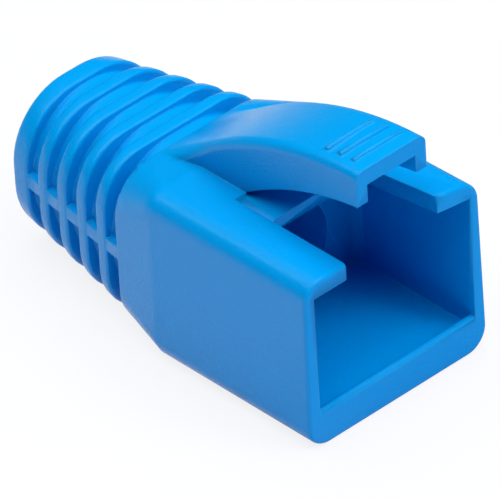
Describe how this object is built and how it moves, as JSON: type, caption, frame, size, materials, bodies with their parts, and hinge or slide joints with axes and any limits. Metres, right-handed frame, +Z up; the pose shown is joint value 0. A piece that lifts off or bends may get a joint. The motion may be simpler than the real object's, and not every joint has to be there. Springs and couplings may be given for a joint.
{
  "type": "network plug strain relief boot",
  "caption": "Soft moulded boot for a modular network plug: open box for the plug, curved latch guard over a slot, and a tapering grooved tail around the cable hole.",
  "frame": {"origin": "middle of the boot's footprint, on the plane of its flat underside", "axes": "+Y along the cable from the mouth to the tail, +X across the boot to the right when looking into the mouth, +Z up towards the latch guard"},
  "size_m": [0.0138, 0.0268, 0.0172],
  "materials": {
    "boot": "satin"
  },
  "bodies": {
    "root": {"strain_relief_boot": "boot"}
  },
  "joints": []
}
